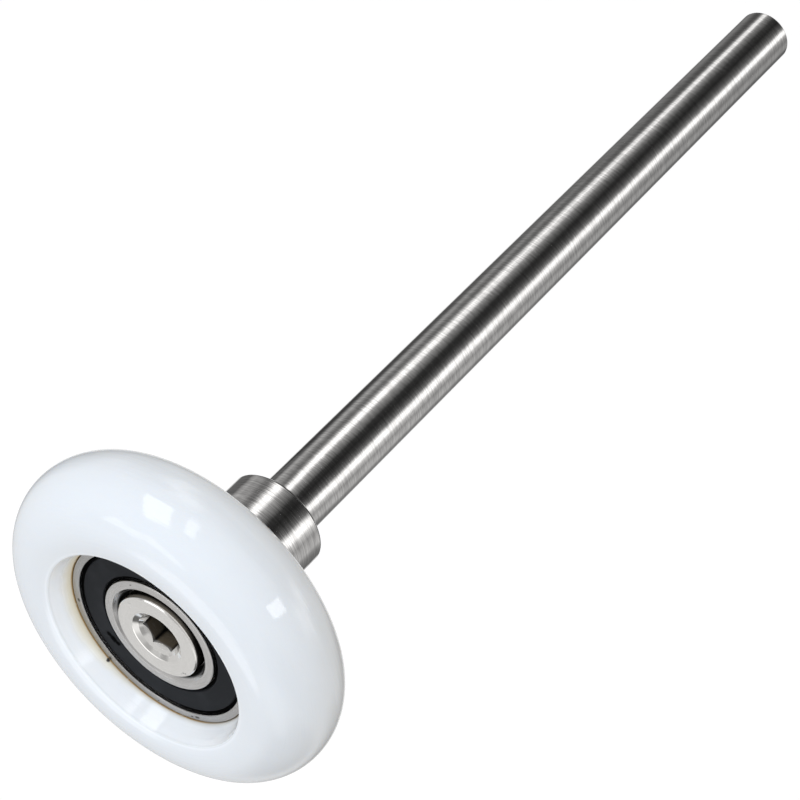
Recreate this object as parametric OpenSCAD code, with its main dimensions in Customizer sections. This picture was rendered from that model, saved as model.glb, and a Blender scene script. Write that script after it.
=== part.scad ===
// Garage door roller: a full-round nylon wheel moulded on a sealed ball bearing,
// carried by a stepped bush that a flat-headed screw clamps to a long plain stem.
// The axle lies along Y. The origin is the middle of the wheel, the wheel's front
// faces -Y and the free end of the stem points to +Y.

/* [Wheel] */
// Diameter of the wheel over its tread
wheel_d = 61; // [56:0.5:80]
// Width of the wheel; the tread is a half circle of this diameter
wheel_w = 17.6; // [16:0.1:22]
// Width of the flat web that joins the tread to the bearing
web_w = 15; // [13:0.1:15.8]
// Slope of the two recess walls, in degrees from the axle
recess_draft = 19; // [10:1:30]
// How far the middle of the bearing lies behind the middle of the wheel
bearing_setback = 0.75; // [0:0.05:1]

/* [Bearing rings] */
// Bore of the inner ring
bore_d = 17; // [15:0.1:17.5]
// Outer diameter of the outer ring
bearing_d = 35; // [33:0.1:37]
// Width of both rings
bearing_w = 10; // [9.6:0.1:12]
// Radial thickness of the inner ring beside the seals
inner_rim = 2.2; // [1.8:0.05:2.4]
// Radial thickness of the outer ring beside the seals
outer_rim = 1.6; // [1.2:0.05:1.8]
// Chamfer on the bore of the inner ring
bore_chamfer = 0.7; // [0.3:0.05:1]
// Chamfer on the rim of the outer ring
rim_chamfer = 0.3; // [0.2:0.05:0.6]
// How far the nylon grips in over that chamfer
rim_grip = 0.15; // [0.1:0.05:0.2]
// Depth of the raceways below the ring shoulders
race_depth = 0.95; // [0.7:0.05:1.1]
// Radius of a raceway's section as a share of the ball diameter
race_conformity = 0.52; // [0.51:0.005:0.54]

/* [Balls and cage] */
// Diameter of a ball
ball_d = 4.762; // [4.5:0.002:5]
// Radial play between a ball and each raceway
race_play = 0.02; // [0.01:0.005:0.05]
// Thickness of the cage's sheet
cage_t = 0.5; // [0.3:0.05:0.6]
// Gap between the cage and the ring shoulders
cage_gap = 0.4; // [0.25:0.05:0.6]
// Play of a ball in its pocket
pocket_play = 0.06; // [0.03:0.01:0.1]
// Diameter of a rivet's shank
rivet_d = 0.9; // [0.7:0.05:1.1]
// Diameter of a rivet's heads
rivet_head_d = 1.5; // [1.2:0.05:1.6]
// Height of a rivet's heads
rivet_head_h = 0.35; // [0.2:0.05:0.5]

/* [Seals] */
// How far a seal's face lies below the ring faces
seal_recess = 0.35; // [0.2:0.05:0.5]
// Thickness of a seal's rubber
seal_t = 0.8; // [0.6:0.05:0.9]
// Thickness of the steel insert behind the rubber
insert_t = 0.4; // [0.3:0.05:0.45]
// Running gap between a seal's lip and the inner ring
seal_gap = 0.1; // [0.05:0.01:0.2]
// Width of the lowered lip along a seal's inner edge
lip_w = 0.65; // [0.4:0.05:0.9]
// Width of the groove along a seal's outer edge
moat_w = 0.65; // [0.4:0.05:0.9]
// Depth of that groove and of the lowered lip
seal_step = 0.35; // [0.2:0.05:0.5]
// Diameter of the bead that snaps into the outer ring
bead_d = 0.4; // [0.3:0.05:0.5]

/* [Bush] */
// Diameter of the collar
collar_d = 18; // [15:0.1:19]
// Length of the collar behind the bearing, shoulder included
collar_len = 20.5; // [14:0.1:40]
// Diameter of the shoulder that the inner ring seats on
shoulder_d = 20; // [19.2:0.1:20.6]
// Length of that shoulder
shoulder_len = 1.5; // [1:0.1:2.5]
// Chamfer on the collar's rear rim
collar_chamfer = 0.4; // [0.2:0.1:1]
// Depth of the rear socket that seats the stem
seat_depth = 8; // [4:0.1:9]
// Diameter of that socket and of the stretch of stem pressed into it
seat_d = 10.6; // [10.5:0.05:10.8]

/* [Stem] */
// Diameter of the stem
stem_d = 11; // [10.8:0.1:12.7]
// Length of stem that stands out of the collar
stem_reach = 164; // [80:1:250]
// Chamfer on the stem's free end
stem_chamfer = 0.6; // [0.3:0.1:1.2]
// Length of the neck that stays turned down to the seat's diameter behind the collar
neck_len = 0.5; // [0.2:0.1:1.5]
// Diameter of the journal turned down to enter the bush
journal_d = 10; // [9.5:0.1:10.4]
// How far the journal ends short of the bush, so that the screw clamps the bush
clamp_gap = 0.3; // [0.1:0.1:1]

/* [Screw] */
// Radial gap between the screw's head and the bearing's bore
head_gap = 0.7; // [0.5:0.05:1]
// Thickness of the head
head_t = 3; // [2.5:0.1:4]
// How far the head stands out of the bearing's face
head_proud = 0.45; // [0.1:0.05:1]
// Chamfer on the head's edge
head_chamfer = 0.3; // [0.1:0.05:0.5]
// Diameter of the tapered mouth of the key socket
mouth_d = 9.8; // [8.6:0.1:10.6]
// Size of the key socket across its flats
key_af = 6; // [5:0.1:6]
// Depth of the key socket below the head's face
key_depth = 5.4; // [4.6:0.1:6]
// Diameter of the threaded shank
thread_d = 8; // [7.6:0.1:8.6]
// Length of the shank under the head
shank_len = 14; // [10:0.5:16]
// Chamfer on the shank's tip
shank_chamfer = 0.8; // [0.4:0.1:1.2]
// Extra depth of the tapped hole past the shank's tip
tap_extra = 2; // [1:0.1:4]

/* [Hidden] */
$fn = 96;

// One ball node, one pocket and one rivet each
ball_count = 10;

// Bearing, measured along its own middle plane and out from the axle
half_w = bearing_w / 2;
bore_r = bore_d / 2;
rim_r = bearing_d / 2;
pitch_r = (bore_r + rim_r) / 2;
ball_r = ball_d / 2;
race_r = ball_d * race_conformity;
inner_race_r = pitch_r - ball_r - race_play;
outer_race_r = pitch_r + ball_r + race_play;
inner_shoulder_r = inner_race_r + race_depth;
outer_shoulder_r = outer_race_r - race_depth;
land_r = bore_r + inner_rim;
seat_r = rim_r - outer_rim;
seal_back = seal_recess + seal_t;
insert_back = seal_back + insert_t;
edge_break = 0.15;

// Cage
cage_in_r = inner_shoulder_r + cage_gap;
cage_out_r = outer_shoulder_r - cage_gap;
pocket_r = ball_r + pocket_play;
pocket_out_r = pocket_r + cage_t;

// Places along the axle, measured from the wheel's middle
front_face = bearing_setback - half_w;
rear_face = bearing_setback + half_w;
head_face = front_face - head_proud;
head_back = head_face + head_t;
collar_end = rear_face + collar_len;
journal_end = collar_end - seat_depth;
neck_end = collar_end + neck_len;
stem_end = collar_end + stem_reach;
shank_tip = head_back + shank_len;

// Turns a profile drawn as [radius, place along the axle] about the axle.
module turned() {
    rotate([-90, 0, 0]) rotate_extrude() children();
}

// Moves into the bearing, whose own origin is its middle.
module in_bearing() {
    translate([0, bearing_setback, 0]) children();
}

// Puts a copy on the pitch circle at each step; half a step lies between two balls.
module on_pitch_circle(offset_steps = 0) {
    for (i = [0 : ball_count - 1])
        rotate([0, -360 / ball_count * (i + offset_steps), 0])
            translate([pitch_r, 0, 0]) children();
}

// Nylon wheel: a full-round section on a web, opened by a tapered recess at each
// side and by the seat of the outer ring, whose chamfered rim the nylon grips.
module wheel_tyre() {
    grip_r = rim_r - rim_grip;
    bare = rim_chamfer - rim_grip;
    spread = wheel_w * tan(recess_draft);
    color([0.93, 0.95, 0.98]) turned() difference() {
        union() {
            translate([(wheel_d - wheel_w) / 2, 0]) circle(d = wheel_w);
            translate([0, -web_w / 2]) square([(wheel_d - wheel_w) / 2, web_w]);
        }
        polygon([
            [0, front_face + bare - wheel_w],
            [grip_r + spread, front_face + bare - wheel_w],
            [grip_r, front_face + bare],
            [rim_r, front_face + rim_chamfer],
            [rim_r, rear_face - rim_chamfer],
            [grip_r, rear_face - bare],
            [grip_r + spread, rear_face - bare + wheel_w],
            [0, rear_face - bare + wheel_w]
        ]);
    }
}

// Outer ring: raceway between two shoulders, a recess and a snap groove for each seal.
module bearing_outer_ring() {
    color([0.62, 0.61, 0.60]) in_bearing() turned() difference() {
        polygon([
            [outer_shoulder_r, -half_w],
            [rim_r - rim_chamfer, -half_w],
            [rim_r, -half_w + rim_chamfer],
            [rim_r, half_w - rim_chamfer],
            [rim_r - rim_chamfer, half_w],
            [outer_shoulder_r, half_w]
        ]);
        translate([outer_race_r - race_r, 0]) circle(r = race_r);
        for (side = [-1, 1]) scale([1, side]) {
            polygon([
                [0, half_w - insert_back],
                [seat_r, half_w - insert_back],
                [seat_r, half_w - edge_break],
                [seat_r + edge_break, half_w],
                [seat_r + edge_break, half_w + 1],
                [0, half_w + 1]
            ]);
            seal_bead();
        }
    }
}

// Inner ring: raceway between two shoulders, a lower land for each seal's lip.
module bearing_inner_ring() {
    land_end = half_w - insert_back;
    color([0.75, 0.74, 0.72]) in_bearing() turned() difference() {
        polygon([
            [bore_r, -half_w + bore_chamfer],
            [bore_r + bore_chamfer, -half_w],
            [land_r - edge_break, -half_w],
            [land_r, -half_w + edge_break],
            [land_r, -land_end],
            [inner_shoulder_r, -land_end],
            [inner_shoulder_r, land_end],
            [land_r, land_end],
            [land_r, half_w - edge_break],
            [land_r - edge_break, half_w],
            [bore_r + bore_chamfer, half_w],
            [bore_r, half_w - bore_chamfer]
        ]);
        translate([inner_race_r + race_r, 0]) circle(r = race_r);
    }
}

// One ball, counted from 1.
module ball(number) {
    color([0.80, 0.80, 0.81]) in_bearing()
        rotate([0, -360 / ball_count * (number - 1), 0])
            translate([pitch_r, 0, 0]) sphere(r = ball_r);
}

// Half of the ribbon cage, on the front side: a pressed sheet that lies flat between
// the balls and bulges round each of them, with a rivet hole in each flat.
module cage_half() {
    color([0.66, 0.60, 0.48]) difference() {
        intersection() {
            union() {
                turned() translate([cage_in_r, -cage_t])
                    square([cage_out_r - cage_in_r, cage_t]);
                on_pitch_circle() rotate([90, 0, 0]) sphere(r = pocket_out_r);
            }
            turned() translate([cage_in_r, -pocket_out_r])
                square([cage_out_r - cage_in_r, pocket_out_r]);
        }
        on_pitch_circle() rotate([90, 0, 0]) sphere(r = pocket_r);
        on_pitch_circle(0.5) rotate([90, 0, 0])
            cylinder(d = rivet_d, h = 4 * cage_t, center = true);
    }
}

module cage_front() {
    in_bearing() cage_half();
}

module cage_rear() {
    in_bearing() mirror([0, 1, 0]) cage_half();
}

// The rivets that close the cage: a shank through both halves, a head on each side.
module cage_rivets() {
    bevel = rivet_head_h / 2;
    color([0.70, 0.66, 0.58]) in_bearing() on_pitch_circle(0.5) turned() polygon([
        [0, -cage_t - rivet_head_h],
        [rivet_head_d / 2 - bevel, -cage_t - rivet_head_h],
        [rivet_head_d / 2, -cage_t - rivet_head_h + bevel],
        [rivet_head_d / 2, -cage_t],
        [rivet_d / 2, -cage_t],
        [rivet_d / 2, cage_t],
        [rivet_head_d / 2, cage_t],
        [rivet_head_d / 2, cage_t + rivet_head_h - bevel],
        [rivet_head_d / 2 - bevel, cage_t + rivet_head_h],
        [0, cage_t + rivet_head_h]
    ]);
}

// Section of the bead that holds a seal in the outer ring, and of its groove.
module seal_bead() {
    translate([seat_r, half_w - (seal_recess + seal_step + seal_back) / 2]) circle(d = bead_d);
}

// Rubber of a seal, drawn for the +Y side: a raised face between a lowered lip that
// runs on the inner ring and a groove along the snapped-in outer edge.
module seal_rubber() {
    lip_r = land_r + seal_gap;
    face = half_w - seal_recess;
    low = face - seal_step;
    back = half_w - seal_back;
    color([0.16, 0.17, 0.18]) {
        turned() polygon([
            [lip_r, back],
            [lip_r, low - edge_break],
            [lip_r + edge_break, low],
            [land_r + lip_w, low],
            [land_r + lip_w, face - edge_break],
            [land_r + lip_w + edge_break, face],
            [seat_r - moat_w - edge_break, face],
            [seat_r - moat_w, face - edge_break],
            [seat_r - moat_w, low],
            [seat_r, low],
            [seat_r, back]
        ]);
        turned() seal_bead();
    }
}

// Steel insert of a seal, drawn for the +Y side: a washer behind the rubber that
// rests on the outer ring's shoulder and stays clear of the inner ring.
module seal_insert() {
    insert_in_r = inner_shoulder_r + 2.5 * seal_gap;
    color([0.70, 0.70, 0.71]) turned()
        translate([insert_in_r, half_w - insert_back])
            square([seat_r - moat_w / 2 - insert_in_r, insert_t]);
}

module front_seal() {
    in_bearing() mirror([0, 1, 0]) seal_rubber();
}

module front_seal_insert() {
    in_bearing() mirror([0, 1, 0]) seal_insert();
}

module rear_seal() {
    in_bearing() seal_rubber();
}

module rear_seal_insert() {
    in_bearing() seal_insert();
}

// Bush: a spigot pressed into the bearing, a shoulder that the inner ring seats on and
// a long collar, bored for the journal and counterbored for the stem.
module collar() {
    color([0.66, 0.65, 0.64]) turned() polygon([
        [journal_d / 2, head_back],
        [bore_r - collar_chamfer, head_back],
        [bore_r, head_back + collar_chamfer],
        [bore_r, rear_face],
        [shoulder_d / 2, rear_face],
        [shoulder_d / 2, rear_face + shoulder_len],
        [collar_d / 2, rear_face + shoulder_len],
        [collar_d / 2, collar_end - collar_chamfer],
        [collar_d / 2 - collar_chamfer, collar_end],
        [seat_d / 2, collar_end],
        [seat_d / 2, journal_end],
        [journal_d / 2, journal_end]
    ]);
}

// Stem: a plain rod, turned down at the front in two steps for its seat in the collar
// and for the journal, and tapped for the screw.
module stem() {
    tap_end = shank_tip + tap_extra;
    color([0.60, 0.59, 0.58]) turned() polygon([
        [thread_d / 2, head_back + clamp_gap],
        [journal_d / 2, head_back + clamp_gap],
        [journal_d / 2, journal_end],
        [seat_d / 2, journal_end],
        [seat_d / 2, neck_end],
        [stem_d / 2, neck_end],
        [stem_d / 2, stem_end - stem_chamfer],
        [stem_d / 2 - stem_chamfer, stem_end],
        [0, stem_end],
        [0, tap_end + thread_d / 2 * tan(30)],
        [thread_d / 2, tap_end]
    ]);
}

// Screw: a wide flat head standing in the bearing's bore, a hexagonal key socket with
// a two-step tapered mouth, and a shank whose fine thread is left plain.
module retaining_screw() {
    head_r = bore_r - head_gap;
    corner_r = key_af / 2 / cos(30);
    mouth_r = mouth_d / 2;
    step_r = (mouth_r + corner_r) / 2;
    step_depth = mouth_r - step_r;
    color([0.82, 0.81, 0.79]) difference() {
        turned() polygon([
            [0, head_face],
            [head_r - head_chamfer, head_face],
            [head_r, head_face + head_chamfer],
            [head_r, head_back],
            [thread_d / 2, head_back],
            [thread_d / 2, shank_tip - shank_chamfer],
            [thread_d / 2 - shank_chamfer, shank_tip],
            [0, shank_tip]
        ]);
        turned() polygon([
            [0, head_face - 1],
            [mouth_r + 1, head_face - 1],
            [mouth_r, head_face],
            [step_r, head_face + step_depth],
            [0, head_face + step_depth + step_r * tan(30)]
        ]);
        translate([0, head_face, 0]) rotate([-90, 0, 0])
            cylinder(r = corner_r, h = key_depth, $fn = 6);
    }
}

wheel_tyre();
bearing_outer_ring();
bearing_inner_ring();
for (number = [1 : ball_count])
    ball(number);
cage_front();
cage_rear();
cage_rivets();
front_seal();
front_seal_insert();
rear_seal();
rear_seal_insert();
collar();
stem();
retaining_screw();
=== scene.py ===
"""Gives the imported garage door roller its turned, moulded and ground surfaces and a studio to stand in.

The axle lies along Y. The origin is the middle of the wheel, the wheel's front faces -Y and the free end
of the stem points to +Y. Lengths are metres, and a section is written as (radius, place along the axle).
"""

import cmath
import math

import bmesh
import bpy
from bpy.props import FloatProperty, FloatVectorProperty, IntProperty, PointerProperty
from bpy.types import Operator, Panel, PropertyGroup
from mathutils import Matrix, Vector


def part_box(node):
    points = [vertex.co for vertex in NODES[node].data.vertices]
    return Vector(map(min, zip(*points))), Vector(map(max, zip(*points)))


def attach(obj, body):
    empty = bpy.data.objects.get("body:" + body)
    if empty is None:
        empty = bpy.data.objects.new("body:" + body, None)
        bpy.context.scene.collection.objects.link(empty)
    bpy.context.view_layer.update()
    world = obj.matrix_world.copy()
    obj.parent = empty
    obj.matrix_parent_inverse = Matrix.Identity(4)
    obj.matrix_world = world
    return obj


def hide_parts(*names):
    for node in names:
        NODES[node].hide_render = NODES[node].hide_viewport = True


bl_info = {
    "name": "Garage Door Roller",
    "version": (1, 0, 0),
    "blender": (4, 5, 0),
    "location": "View3D > Sidebar > Roller",
    "description": "Turns, moulds and grinds the visible surfaces of a garage door roller",
    "category": "Add Mesh",
}

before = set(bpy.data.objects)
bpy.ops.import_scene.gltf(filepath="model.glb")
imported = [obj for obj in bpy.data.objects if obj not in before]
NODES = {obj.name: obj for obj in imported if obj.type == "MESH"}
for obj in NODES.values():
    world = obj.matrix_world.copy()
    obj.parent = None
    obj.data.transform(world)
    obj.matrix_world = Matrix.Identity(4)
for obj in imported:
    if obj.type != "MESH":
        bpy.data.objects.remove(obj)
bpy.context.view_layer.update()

MM = 0.001
KEY_SIDES = 6
BALLS = sorted(name for name in NODES if name.startswith("ball_"))
CAGE = ("cage_front", "cage_rear")
INSERTS = ("front_seal_insert", "rear_seal_insert")


def reach(node, axis, side=1):
    """How far a node of the frame reaches along an axis; side 0 is its lowest corner."""
    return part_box(node)[side][axis]


def length(name, description, default):
    return FloatProperty(
        name=name, description=description, default=default, min=0.0, unit="LENGTH", precision=5
    )


def slope(name, description, degrees):
    return FloatProperty(name=name, description=description, default=math.radians(degrees), unit="ROTATION")


def power(name, description, default):
    return FloatProperty(name=name, description=description, default=default, min=0.0, unit="POWER")


def colour(name, description, default):
    return FloatVectorProperty(
        name=name, description=description, default=default, subtype="COLOR", size=3, min=0.0, max=1.0
    )


def direction(name, description, default):
    return FloatVectorProperty(
        name=name, description=description, default=default, subtype="DIRECTION", size=3
    )


def faces(where, default):
    return IntProperty(
        name="Steps", description=f"Faces round {where}, a multiple of 6", default=default, min=24
    )


class WheelSettings(PropertyGroup):
    steps: faces("the wheel", 360)
    radius: length("Radius", "Radius over the tread", reach("wheel_tyre", 2))
    width: length("Width", "Width, and diameter of the tread's section", 2 * reach("wheel_tyre", 1))
    draft: slope("Draft", "Slope of the recess walls", 19)
    grip: length("Grip", "How far the nylon grips in over the chamfered rim of the outer ring", 0.15 * MM)
    edge: length("Edge", "Rounding of the lip between tread and recess", 0.12 * MM)
    mark_depth: length("Turning Marks", "Depth of the fine marks round the tread", 0.02 * MM)
    white: colour("Nylon", "Colour of clean nylon", (0.885, 0.9, 0.905))
    cream: colour("Aged Nylon", "Colour of nylon that grease has yellowed", (0.8, 0.7, 0.48))
    rust: colour("Rust", "Colour of the thin line round the bearing", (0.4, 0.23, 0.06))
    # Painted shade for the recess, darker towards the joint and towards the bottom.
    shade: colour("Deep Nylon", "Colour of a recess where little light reaches it", (0.5, 0.45, 0.37))
    # Painted shade for the crease inside the lip.
    painted_crease_shade: colour("Crease", "Colour of the fine line inside the lip", (0.5, 0.5, 0.48))
    grit: colour("Grit", "Colour of the black speck beside the bearing", (0.012, 0.01, 0.009))
    stain: FloatProperty(
        name="Stain", description="Strength of the yellowing beside the bearing", default=0.85,
        min=0.0, max=1.0,
    )


class BearingSettings(PropertyGroup):
    steps: faces("each ring", 288)
    bore: length("Bore", "Radius of the inner ring's bore", 8.5 * MM)
    rim: length("Rim", "Outer radius of the outer ring", reach("bearing_outer_ring", 2))
    width: length("Width", "Width of both rings", 10 * MM)
    inner_rim: length("Inner Rim", "Radial thickness of the inner ring beside a seal", 2.2 * MM)
    outer_rim: length("Outer Rim", "Radial thickness of the outer ring beside a seal", 1.6 * MM)
    bore_chamfer: length("Bore Chamfer", "Chamfer on the bore", 0.7 * MM)
    rim_chamfer: length("Rim Chamfer", "Chamfer on the rim of the outer ring", 0.3 * MM)
    shoulder: length("Shoulder", "Distance of both raceway shoulders from the pitch circle", 1.451 * MM)
    race: length("Raceway", "Radius of a raceway's section", 2.476 * MM)
    race_reach: length("Raceway Reach", "Distance of both raceways from the pitch circle", 2.401 * MM)
    seal_recess: length("Seal Recess", "How far a seal lies below the ring faces", 0.35 * MM)
    seal_thickness: length("Seal Thickness", "Thickness of the rubber", 0.8 * MM)
    insert: length("Insert", "Thickness of the steel behind the rubber", 0.4 * MM)
    lip: length("Lip", "Width of the lowered lip of a seal", 0.65 * MM)
    moat: length("Groove", "Width of the groove round a seal", 0.65 * MM)
    step: length("Step", "Depth of that groove and lip", 0.35 * MM)
    gap: length("Lip Gap", "Running gap under the lip", 0.1 * MM)
    edge: length("Edge", "Rounding of the ground edges", 0.13 * MM)
    inner_steel: colour("Inner Ring", "Colour of the ground inner ring", (0.58, 0.57, 0.56))
    outer_steel: colour("Outer Ring", "Colour of the duller outer ring", (0.43, 0.42, 0.41))
    ball: colour("Ball Steel", "Colour of the polished balls", (0.78, 0.78, 0.79))
    cage: colour("Cage Steel", "Colour of the pressed cage and rivets", (0.6, 0.52, 0.36))
    insert_steel: colour("Insert Steel", "Colour of the rolled inserts", (0.6, 0.6, 0.61))
    rubber: colour("Rubber", "Colour of the seals", (0.0145, 0.0155, 0.0175))


class AxleSettings(PropertyGroup):
    steps: faces("stem and collar", 240)
    collar_radius: length("Collar Radius", "Radius of the collar", 9 * MM)
    collar_chamfer: length("Collar Chamfer", "Chamfer on the collar's rims", 0.4 * MM)
    shoulder_length: length("Shoulder Length", "Length of the shoulder that the bearing seats on", 1.5 * MM)
    seat_radius: length("Seat Radius", "Radius of the stem inside the collar", 5.3 * MM)
    seat_depth: length("Seat Depth", "Depth of the collar's rear socket", 8 * MM)
    neck: length("Neck", "Length of the neck behind the collar", 0.5 * MM)
    journal: length("Journal", "Radius of the journal in the bush", 5 * MM)
    end_chamfer: length("End Chamfer", "Chamfer on the stem's free end", 0.6 * MM)
    groove: length("Groove Depth", "Depth of the brushed lines round stem and collar", 0.006 * MM)
    steel: colour("Turned Steel", "Colour of stem and collar", (0.6, 0.59, 0.58))


class ScrewSettings(PropertyGroup):
    steps: faces("the screw", 288)
    head: length("Head Radius", "Radius of the flat head", reach("retaining_screw", 2))
    head_thickness: length("Head Thickness", "Thickness of the head", 3 * MM)
    head_edge: length("Head Edge", "Width of the flat chamfer on the head's edge", 0.22 * MM)
    mouth: length("Mouth Radius", "Radius of the tapered mouth of the socket", 4.9 * MM)
    ledge: length("Ledge Radius", "Radius of the step in that mouth", 4.0 * MM)
    ledge_depth: length("Ledge Depth", "Depth of that step", 0.52 * MM)
    cone: slope("Cone", "Slope of the inner cone that the flats cut in scallops", 48)
    flare: slope("Flare", "Slope of the fine facet round the mouth", 28)
    key: length("Key", "Size of the key across its flats", 6.2 * MM)
    key_depth: length("Key Depth", "Depth of the socket", 5.4 * MM)
    thread: length("Thread Radius", "Radius of the shank", 4 * MM)
    tip: length("Tip", "Chamfer on the shank's tip", 0.8 * MM)
    steel: colour("Screw Steel", "Colour of the screw", (0.84, 0.825, 0.8))


class StageSettings(PropertyGroup):
    camera_place: FloatVectorProperty(
        name="Camera", description="Place of the camera", default=(0.16622, -0.17692, 0.27863),
        subtype="TRANSLATION", unit="LENGTH", size=3,
    )
    camera_aim: direction("Aim", "Direction in which the camera looks", (-0.41267, 0.59042, -0.69362))
    camera_side: direction("Side", "Direction of the camera's right side", (0.81964, 0.57288, 0.0))
    lens: FloatProperty(name="Lens", description="Focal length in millimetres", default=106.01, min=20.0)
    drop: length("Floor Drop", "How far the floor lies below the axle", 250 * MM)
    fill: colour("Fill", "Light that comes evenly from all sides", (0.675, 0.673, 0.672))
    key: colour("Key", "Extra light that comes from the front and above", (0.331, 0.413, 0.534))
    lamp: power("Lamp", "Power of the soft lamp", 0.5)
    glow: power("Glow", "Power of the recess lamp", 0.0015)


class Value:
    """A socket that takes part in sums: an expression on Values adds its Math nodes."""

    def __init__(self, graph, socket):
        self.graph, self.socket = graph, socket

    def math(self, operation, *others):
        sockets = dict(enumerate((self, *others)))
        return self.graph.node("ShaderNodeMath", {"operation": operation}, sockets)

    def __add__(self, other):
        return self.math("ADD", other)

    def __sub__(self, other):
        return self.math("SUBTRACT", other)

    def __rsub__(self, other):
        return self.graph.number(other).math("SUBTRACT", self)

    def __mul__(self, other):
        return self.math("MULTIPLY", other)

    def __truediv__(self, other):
        return self.math("DIVIDE", other)

    def __rtruediv__(self, other):
        return self.graph.number(other).math("DIVIDE", self)

    def __pow__(self, other):
        return self.math("POWER", other)

    __radd__, __rmul__ = __add__, __mul__

    def clamped(self):
        return self.math("MINIMUM", 1.0).math("MAXIMUM", 0.0)

    def between(self, low, high):
        """0 below low and 1 above high, with a smooth slope between them; low may be the larger."""
        if low > high:
            return 1 - self.between(high, low)
        sockets = {"Value": self, "From Min": low, "From Max": high}
        return self.graph.node("ShaderNodeMapRange", {"interpolation_type": "SMOOTHSTEP"}, sockets)

    def near(self, centre, half_width, softness):
        """1 within half_width of the centre, 0 farther out than that and the softness."""
        return (self - centre).math("ABSOLUTE").between(half_width + softness, half_width)


class Graph:
    """A node tree of a material, a world or a modifier, and the means to add nodes to it."""

    def __init__(self, tree):
        self.tree = tree
        tree.nodes.clear()

    def node(self, kind, settings=(), sockets=(), out=0):
        """Adds a node: first its settings, a ramp's stops among them, then its sockets' values or links."""
        made = self.tree.nodes.new(kind)
        made.location = (len(self.tree.nodes) % 12 * 190, -(len(self.tree.nodes) // 12) * 260)
        for name, value in dict(settings).items():
            if name == "stops":
                self.set_stops(made.color_ramp, value)
            else:
                setattr(made, name, value)
        for key, value in dict(sockets).items():
            if isinstance(value, Value):
                self.tree.links.new(value.socket, made.inputs[key])
            else:
                made.inputs[key].default_value = value
        return Value(self, made.outputs[out]) if len(made.outputs) else made

    @staticmethod
    def set_stops(ramp, stops):
        """Gives a ramp its stops, as (place, grey or colour)."""
        for place, _ in stops[len(ramp.elements):]:
            ramp.elements.new(place)
        for element, (place, shade) in zip(ramp.elements, stops):
            element.position = place
            element.color = (shade, shade, shade, 1.0) if isinstance(shade, float) else (*shade, 1.0)

    def number(self, value):
        return self.node("ShaderNodeMath", {"operation": "ADD"}, {0: value, 1: 0.0})

    def outputs(self, kind):
        """All the outputs of a new node without inputs, by name."""
        made = self.node(kind).socket.node
        return {socket.name: Value(self, socket) for socket in made.outputs}

    def split(self, vector):
        made = self.node("ShaderNodeSeparateXYZ", (), {"Vector": vector}).socket.node
        return [Value(self, socket) for socket in made.outputs]

    def vector(self, x, y, z):
        return self.node("ShaderNodeCombineXYZ", (), {"X": x, "Y": y, "Z": z})

    def vector_math(self, operation, first, second, out=0):
        """Vector maths; a scaling takes a number second, and a dot product comes from output 1."""
        sockets = {0: first, "Scale" if operation == "SCALE" else 1: second}
        return self.node("ShaderNodeVectorMath", {"operation": operation}, sockets, out)

    def dot(self, first, second):
        return self.vector_math("DOT_PRODUCT", first, second, out=1)

    def mix(self, factor, first, second):
        """Mixes two colours, each a Value or three numbers, on the colour sockets of a Mix node."""
        pair = [c if isinstance(c, Value) else (*c, 1.0) for c in (first, second)]
        return self.node("ShaderNodeMix", {"data_type": "RGBA"}, {0: factor, 6: pair[0], 7: pair[1]}, out=2)

    def noise(self, vector, scale=1.0, detail=2.0, rough=0.5, w=0.0):
        sockets = {"Vector": vector, "W": w, "Scale": scale, "Detail": detail, "Roughness": rough}
        return self.node("ShaderNodeTexNoise", {"noise_dimensions": "4D"}, sockets)


class Round:
    """Object coordinates of a turned piece in millimetres, its radius rho and the turn round the axle."""

    def __init__(self, graph):
        self.graph = graph
        texture = graph.outputs("ShaderNodeTexCoord")
        self.normal = texture["Normal"]
        self.place = graph.vector_math("SCALE", texture["Object"], 1 / MM)
        x, self.y, z = graph.split(self.place)
        self.rho = (x * x + z * z).math("SQRT")
        self.cos = x / (self.rho + 0.001)
        self.sin = z / (self.rho + 0.001)

    def lines(self, per_mm, lobes, seed=0.0, detail=2.0):
        """Fine lines that run round the axle, some of them only part of the way."""
        vector = self.graph.vector(self.rho * per_mm, self.y * per_mm, self.cos * lobes)
        return self.graph.noise(vector, detail=detail, rough=0.6, w=self.sin * lobes + seed)

    def swayed(self, amount, per_mm, lobes):
        """The surface's direction, swung a little round the axle, by another amount in each fine line."""
        graph = self.graph
        around = graph.vector(self.sin * -1.0, 0.0, self.cos)
        swing = (self.lines(per_mm, lobes, seed=15.0) - 0.5) * amount
        normal = graph.vector_math("ADD", self.normal, graph.vector_math("SCALE", around, swing))
        settings = {"vector_type": "NORMAL", "convert_from": "OBJECT", "convert_to": "WORLD"}
        return graph.node("ShaderNodeVectorTransform", settings, {"Vector": normal})

    def spot(self, turn, rho, along, size, stretch=1.0, seed=0.0):
        """A small ragged mark, 1 in its middle, at a turn in degrees, a radius and a place along the axle.

        Its size is its radius in millimetres, and it is drawn out round the axle by the stretch.
        """
        graph, angle = self.graph, math.radians(turn)
        centre = (rho * math.cos(angle), along, rho * math.sin(angle))
        away = graph.vector_math("SUBTRACT", self.place, centre)
        around = graph.dot(away, (-math.sin(angle), 0.0, math.cos(angle)))
        ragged = graph.noise(self.place, scale=6.0, detail=3.0, w=seed) * 1.2 + 0.4
        distance = (graph.dot(away, away) - around * around * (1 - 1 / stretch**2)).math("SQRT")
        return (distance / ragged).between(size, 0.55 * size)


def material(name, principled=()):
    """A new material whose shader has these numbers on its sockets."""
    made = bpy.data.materials.new(name)
    made.use_nodes = True
    graph = Graph(made.node_tree)
    shader = graph.node("ShaderNodeBsdfPrincipled", (), principled)
    graph.node("ShaderNodeOutputMaterial", (), {"Surface": shader})
    return made, graph, shader.socket.node


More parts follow.
